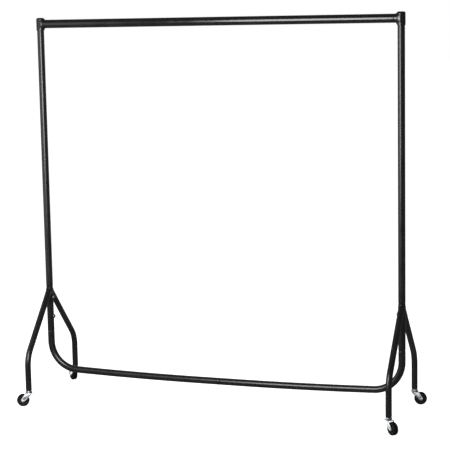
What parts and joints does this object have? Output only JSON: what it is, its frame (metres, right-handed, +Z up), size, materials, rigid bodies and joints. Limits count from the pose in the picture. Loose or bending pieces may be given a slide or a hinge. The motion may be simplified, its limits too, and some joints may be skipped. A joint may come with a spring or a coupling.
{
  "type": "rolling clothes rack",
  "caption": "Rolling clothes rack: round steel hanging rail on two uprights with splayed bent-tube end frames, a bottom rail and swivel castors.",
  "frame": {"origin": "on the floor under the middle of the rack", "axes": "+X along the hanging rail, +Y towards the back, +Z up"},
  "size_m": [1.5844, 0.5142, 1.555],
  "materials": {
    "tube_paint": "semi-gloss black powder coat on steel tube",
    "corner_nylon": "glossy moulded black nylon",
    "bolt_zinc": "dark zinc-plated steel",
    "castor_zinc": "bright zinc-plated pressed steel",
    "wheel_nylon": "satin moulded black plastic",
    "tyre_rubber": "smooth black rubber"
  },
  "bodies": {
    "root": {"bottom_rail_left": "tube_paint", "bottom_rail_right": "tube_paint", "castor_cup_front_left": "castor_zinc", "castor_cup_front_right": "castor_zinc", "castor_cup_rear_left": "castor_zinc", "castor_cup_rear_right": "castor_zinc", "castor_socket_front_left": "corner_nylon", "castor_socket_front_right": "corner_nylon", "castor_socket_rear_left": "corner_nylon", "castor_socket_rear_right": "corner_nylon", "castor_stem_front_left": "castor_zinc", "castor_stem_front_right": "castor_zinc", "castor_stem_rear_left": "castor_zinc", "castor_stem_rear_right": "castor_zinc", "centre_tube_left": "tube_paint", "centre_tube_right": "tube_paint", "leg_front_left": "tube_paint", "leg_front_right": "tube_paint", "leg_rear_left": "tube_paint", "leg_rear_right": "tube_paint", "leg_welds_left": "tube_paint", "leg_welds_right": "tube_paint", "locking_bolts": "bolt_zinc", "spigot_nuts": "bolt_zinc", "tee_left": "corner_nylon", "tee_right": "corner_nylon", "top_rail": "tube_paint", "upright_left": "tube_paint", "upright_right": "tube_paint"},
    "swivel_front_left": {"castor_fork_front_left": "castor_zinc", "castor_balls_front_left": "castor_zinc", "castor_axle_front_left": "castor_zinc"},
    "wheel_front_left": {"castor_wheel_front_left": "wheel_nylon", "castor_tyre_front_left": "tyre_rubber"},
    "swivel_front_right": {"castor_fork_front_right": "castor_zinc", "castor_balls_front_right": "castor_zinc", "castor_axle_front_right": "castor_zinc"},
    "wheel_front_right": {"castor_wheel_front_right": "wheel_nylon", "castor_tyre_front_right": "tyre_rubber"},
    "swivel_rear_left": {"castor_fork_rear_left": "castor_zinc", "castor_balls_rear_left": "castor_zinc", "castor_axle_rear_left": "castor_zinc"},
    "wheel_rear_left": {"castor_wheel_rear_left": "wheel_nylon", "castor_tyre_rear_left": "tyre_rubber"},
    "swivel_rear_right": {"castor_fork_rear_right": "castor_zinc", "castor_balls_rear_right": "castor_zinc", "castor_axle_rear_right": "castor_zinc"},
    "wheel_rear_right": {"castor_wheel_rear_right": "wheel_nylon", "castor_tyre_rear_right": "tyre_rubber"}
  },
  "joints": [
    {"name": "swivel_front_left", "type": "hinge", "parent": "root", "child": "swivel_front_left", "pos_m": [-0.744, -0.22, 0.0548], "axis": [0, 0, 1], "continuous": true},
    {"name": "roll_front_left", "type": "hinge", "parent": "swivel_front_left", "child": "wheel_front_left", "pos_m": [-0.76655, -0.22821, 0.025], "axis": [-0.342, 0.9397, 0], "continuous": true},
    {"name": "swivel_front_right", "type": "hinge", "parent": "root", "child": "swivel_front_right", "pos_m": [0.744, -0.22, 0.0548], "axis": [0, 0, 1], "continuous": true},
    {"name": "roll_front_right", "type": "hinge", "parent": "swivel_front_right", "child": "wheel_front_right", "pos_m": [0.76238, -0.23543, 0.025], "axis": [-0.6428, -0.766, 0], "continuous": true},
    {"name": "swivel_rear_left", "type": "hinge", "parent": "root", "child": "swivel_rear_left", "pos_m": [-0.744, 0.22, 0.0548], "axis": [0, 0, 1], "continuous": true},
    {"name": "roll_rear_left", "type": "hinge", "parent": "swivel_rear_left", "child": "wheel_rear_left", "pos_m": [-0.76238, 0.23543, 0.025], "axis": [0.6428, 0.766, 0], "continuous": true},
    {"name": "swivel_rear_right", "type": "hinge", "parent": "root", "child": "swivel_rear_right", "pos_m": [0.744, 0.22, 0.0548], "axis": [0, 0, 1], "continuous": true},
    {"name": "roll_rear_right", "type": "hinge", "parent": "swivel_rear_right", "child": "wheel_rear_right", "pos_m": [0.76655, 0.22821, 0.025], "axis": [0.342, -0.9397, 0], "continuous": true}
  ]
}
